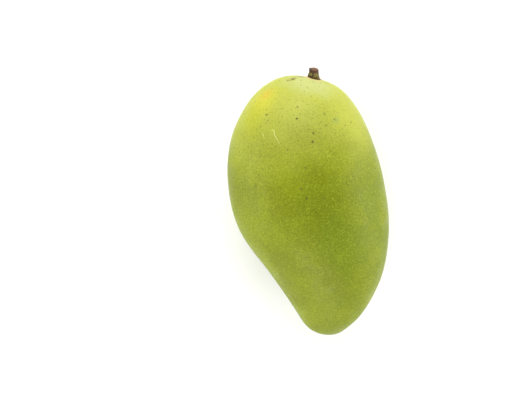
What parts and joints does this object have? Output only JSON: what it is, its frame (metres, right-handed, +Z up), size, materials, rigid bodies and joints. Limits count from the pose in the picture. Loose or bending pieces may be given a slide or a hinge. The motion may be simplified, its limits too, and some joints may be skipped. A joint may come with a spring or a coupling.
{
  "type": "green mango",
  "caption": "Whole unpeeled green mango with a short cut stalk stub, lying on one cheek on a small flat spot.",
  "frame": {"origin": "middle of the footprint, on the surface that the fruit lies on", "axes": "+Y along the fruit from the beak to the stalk, +X towards the curved back, +Z up from the cheek that it lies on"},
  "size_m": [0.084, 0.142, 0.069],
  "materials": {
    "mango_skin": "waxy satin fruit skin, olive green at the middle, yellower on the shoulder, with fine speckles and corky dots",
    "stalk_bark": "dull brown bark, olive at its waist, with a drier slanted cut end"
  },
  "bodies": {
    "root": {"fruit": "mango_skin", "stalk_stub": "stalk_bark"}
  },
  "joints": []
}
